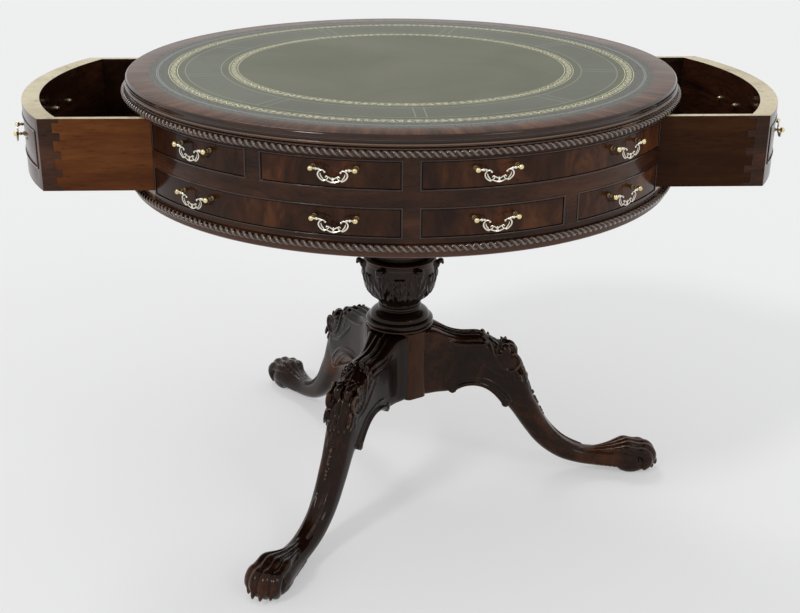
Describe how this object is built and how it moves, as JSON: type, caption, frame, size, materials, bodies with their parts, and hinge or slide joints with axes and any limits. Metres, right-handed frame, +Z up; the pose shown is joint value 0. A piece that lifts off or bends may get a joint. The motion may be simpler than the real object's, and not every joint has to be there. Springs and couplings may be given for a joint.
{
  "type": "revolving drum desk",
  "caption": "Round drum desk on a carved tripod pedestal: the leather-topped drum revolves and deep curved drawers slide out of opposite sides, with drop bail handles.",
  "frame": {"origin": "on the floor, on the pedestal's vertical axis", "axes": "+Z up, +X towards the right open drawer, -Y towards the front frieze"},
  "size_m": [1.2614, 0.9188, 0.767],
  "materials": {
    "carved_mahogany": "dark gloss",
    "veneered_mahogany": "dark figured gloss",
    "bead_mahogany": "dark gloss",
    "crossband_mahogany": "warm brown gloss",
    "drawer_wood": "orange brown satin",
    "carcase_wood": "bare matt",
    "tooled_leather": "olive grey satin with gilt tooling",
    "handle_brass": "polished",
    "nut_brass": "satin",
    "washer_brass": "satin",
    "spindle_steel": "brushed",
    "plate_iron": "black"
  },
  "bodies": {
    "base": {"pedestal_column": "carved_mahogany", "swivel_plate": "carved_mahogany", "swivel_washer": "washer_brass", "pivot_spindle": "spindle_steel", "spindle_nut": "spindle_steel", "leg_hub": "carved_mahogany", "right_leg": "carved_mahogany", "back_leg": "carved_mahogany", "front_leg": "carved_mahogany", "tripod_plate": "plate_iron", "plate_screws": "spindle_steel"},
    "drum": {"drum_floor": "carved_mahogany", "hub_block": "carcase_wood", "upper_rope": "carved_mahogany", "lower_rope": "carved_mahogany", "top_board": "carcase_wood", "leather_top": "tooled_leather", "top_rim": "crossband_mahogany", "carcase_boards": "carcase_wood", "drawer_runners": "carcase_wood", "opening_rails": "bead_mahogany", "front_frieze": "veneered_mahogany", "back_frieze": "veneered_mahogany", "frieze_beads": "bead_mahogany", "frieze_handle_posts": "handle_brass", "frieze_handle_nuts": "nut_brass"},
    "left_drawer": {"left_drawer_front": "veneered_mahogany", "left_drawer_sides": "drawer_wood", "left_drawer_back": "drawer_wood", "left_drawer_bottom": "drawer_wood", "left_drawer_beads": "bead_mahogany", "left_drawer_posts": "handle_brass", "left_drawer_nuts": "nut_brass"},
    "right_drawer": {"right_drawer_front": "veneered_mahogany", "right_drawer_sides": "drawer_wood", "right_drawer_back": "drawer_wood", "right_drawer_bottom": "drawer_wood", "right_drawer_beads": "bead_mahogany", "right_drawer_posts": "handle_brass", "right_drawer_nuts": "nut_brass"},
    "front_upper_outer_left_bail": {"front_upper_outer_left_bail": "handle_brass"},
    "front_upper_inner_left_bail": {"front_upper_inner_left_bail": "handle_brass"},
    "front_upper_inner_right_bail": {"front_upper_inner_right_bail": "handle_brass"},
    "front_upper_outer_right_bail": {"front_upper_outer_right_bail": "handle_brass"},
    "front_lower_outer_left_bail": {"front_lower_outer_left_bail": "handle_brass"},
    "front_lower_inner_left_bail": {"front_lower_inner_left_bail": "handle_brass"},
    "front_lower_inner_right_bail": {"front_lower_inner_right_bail": "handle_brass"},
    "front_lower_outer_right_bail": {"front_lower_outer_right_bail": "handle_brass"},
    "back_upper_outer_left_bail": {"back_upper_outer_left_bail": "handle_brass"},
    "back_upper_inner_left_bail": {"back_upper_inner_left_bail": "handle_brass"},
    "back_upper_inner_right_bail": {"back_upper_inner_right_bail": "handle_brass"},
    "back_upper_outer_right_bail": {"back_upper_outer_right_bail": "handle_brass"},
    "back_lower_outer_left_bail": {"back_lower_outer_left_bail": "handle_brass"},
    "back_lower_inner_left_bail": {"back_lower_inner_left_bail": "handle_brass"},
    "back_lower_inner_right_bail": {"back_lower_inner_right_bail": "handle_brass"},
    "back_lower_outer_right_bail": {"back_lower_outer_right_bail": "handle_brass"},
    "right_drawer_first_bail": {"right_drawer_first_bail": "handle_brass"},
    "right_drawer_second_bail": {"right_drawer_second_bail": "handle_brass"},
    "left_drawer_first_bail": {"left_drawer_first_bail": "handle_brass"},
    "left_drawer_second_bail": {"left_drawer_second_bail": "handle_brass"}
  },
  "joints": [
    {"name": "drum_turn", "type": "hinge", "parent": "base", "child": "drum", "pos_m": [0, 0, 0.5906], "axis": [0, 0, 1], "continuous": true},
    {"name": "right_drawer_slide", "type": "slide", "parent": "drum", "child": "right_drawer", "axis": [1, 0, 0], "range_m": [-0.168, 0.09]},
    {"name": "left_drawer_slide", "type": "slide", "parent": "drum", "child": "left_drawer", "axis": [-1, 0, 0], "range_m": [-0.168, 0.09]},
    {"name": "front_upper_outer_left_swing", "type": "hinge", "parent": "drum", "child": "front_upper_outer_left_bail", "pos_m": [-0.31904, -0.33269, 0.7185], "axis": [-0.7218, 0.6921, 0], "range_deg": [-25, 140]},
    {"name": "front_upper_inner_left_swing", "type": "hinge", "parent": "drum", "child": "front_upper_inner_left_bail", "pos_m": [-0.11385, -0.44666, 0.7185], "axis": [-0.969, 0.247, 0], "range_deg": [-25, 140]},
    {"name": "front_upper_inner_right_swing", "type": "hinge", "parent": "drum", "child": "front_upper_inner_right_bail", "pos_m": [0.11385, -0.44666, 0.7185], "axis": [-0.969, -0.247, 0], "range_deg": [-25, 140]},
    {"name": "front_upper_outer_right_swing", "type": "hinge", "parent": "drum", "child": "front_upper_outer_right_bail", "pos_m": [0.31904, -0.33269, 0.7185], "axis": [-0.7218, -0.6921, 0], "range_deg": [-25, 140]},
    {"name": "front_lower_outer_left_swing", "type": "hinge", "parent": "drum", "child": "front_lower_outer_left_bail", "pos_m": [-0.31904, -0.33269, 0.647], "axis": [-0.7218, 0.6921, 0], "range_deg": [-25, 140]},
    {"name": "front_lower_inner_left_swing", "type": "hinge", "parent": "drum", "child": "front_lower_inner_left_bail", "pos_m": [-0.11385, -0.44666, 0.647], "axis": [-0.969, 0.247, 0], "range_deg": [-25, 140]},
    {"name": "front_lower_inner_right_swing", "type": "hinge", "parent": "drum", "child": "front_lower_inner_right_bail", "pos_m": [0.11385, -0.44666, 0.647], "axis": [-0.969, -0.247, 0], "range_deg": [-25, 140]},
    {"name": "front_lower_outer_right_swing", "type": "hinge", "parent": "drum", "child": "front_lower_outer_right_bail", "pos_m": [0.31904, -0.33269, 0.647], "axis": [-0.7218, -0.6921, 0], "range_deg": [-25, 140]},
    {"name": "back_upper_outer_left_swing", "type": "hinge", "parent": "drum", "child": "back_upper_outer_left_bail", "pos_m": [0.31904, 0.33269, 0.7185], "axis": [0.7218, -0.6921, 0], "range_deg": [-25, 140]},
    {"name": "back_upper_inner_left_swing", "type": "hinge", "parent": "drum", "child": "back_upper_inner_left_bail", "pos_m": [0.11385, 0.44666, 0.7185], "axis": [0.969, -0.247, 0], "range_deg": [-25, 140]},
    {"name": "back_upper_inner_right_swing", "type": "hinge", "parent": "drum", "child": "back_upper_inner_right_bail", "pos_m": [-0.11385, 0.44666, 0.7185], "axis": [0.969, 0.247, 0], "range_deg": [-25, 140]},
    {"name": "back_upper_outer_right_swing", "type": "hinge", "parent": "drum", "child": "back_upper_outer_right_bail", "pos_m": [-0.31904, 0.33269, 0.7185], "axis": [0.7218, 0.6921, 0], "range_deg": [-25, 140]},
    {"name": "back_lower_outer_left_swing", "type": "hinge", "parent": "drum", "child": "back_lower_outer_left_bail", "pos_m": [0.31904, 0.33269, 0.647], "axis": [0.7218, -0.6921, 0], "range_deg": [-25, 140]},
    {"name": "back_lower_inner_left_swing", "type": "hinge", "parent": "drum", "child": "back_lower_inner_left_bail", "pos_m": [0.11385, 0.44666, 0.647], "axis": [0.969, -0.247, 0], "range_deg": [-25, 140]},
    {"name": "back_lower_inner_right_swing", "type": "hinge", "parent": "drum", "child": "back_lower_inner_right_bail", "pos_m": [-0.11385, 0.44666, 0.647], "axis": [0.969, 0.247, 0], "range_deg": [-25, 140]},
    {"name": "back_lower_outer_right_swing", "type": "hinge", "parent": "drum", "child": "back_lower_outer_right_bail", "pos_m": [-0.31904, 0.33269, 0.647], "axis": [0.7218, 0.6921, 0], "range_deg": [-25, 140]},
    {"name": "right_drawer_first_swing", "type": "hinge", "parent": "right_drawer", "child": "right_drawer_first_bail", "pos_m": [0.62063, -0.08716, 0.6844], "axis": [-0.1891, -0.982, 0], "range_deg": [-25, 140]},
    {"name": "right_drawer_second_swing", "type": "hinge", "parent": "right_drawer", "child": "right_drawer_second_bail", "pos_m": [0.62063, 0.08716, 0.6844], "axis": [0.1891, -0.982, 0], "range_deg": [-25, 140]},
    {"name": "left_drawer_first_swing", "type": "hinge", "parent": "left_drawer", "child": "left_drawer_first_bail", "pos_m": [-0.62063, 0.08716, 0.6844], "axis": [0.1891, 0.982, 0], "range_deg": [-25, 140]},
    {"name": "left_drawer_second_swing", "type": "hinge", "parent": "left_drawer", "child": "left_drawer_second_bail", "pos_m": [-0.62063, -0.08716, 0.6844], "axis": [-0.1891, 0.982, 0], "range_deg": [-25, 140]}
  ]
}
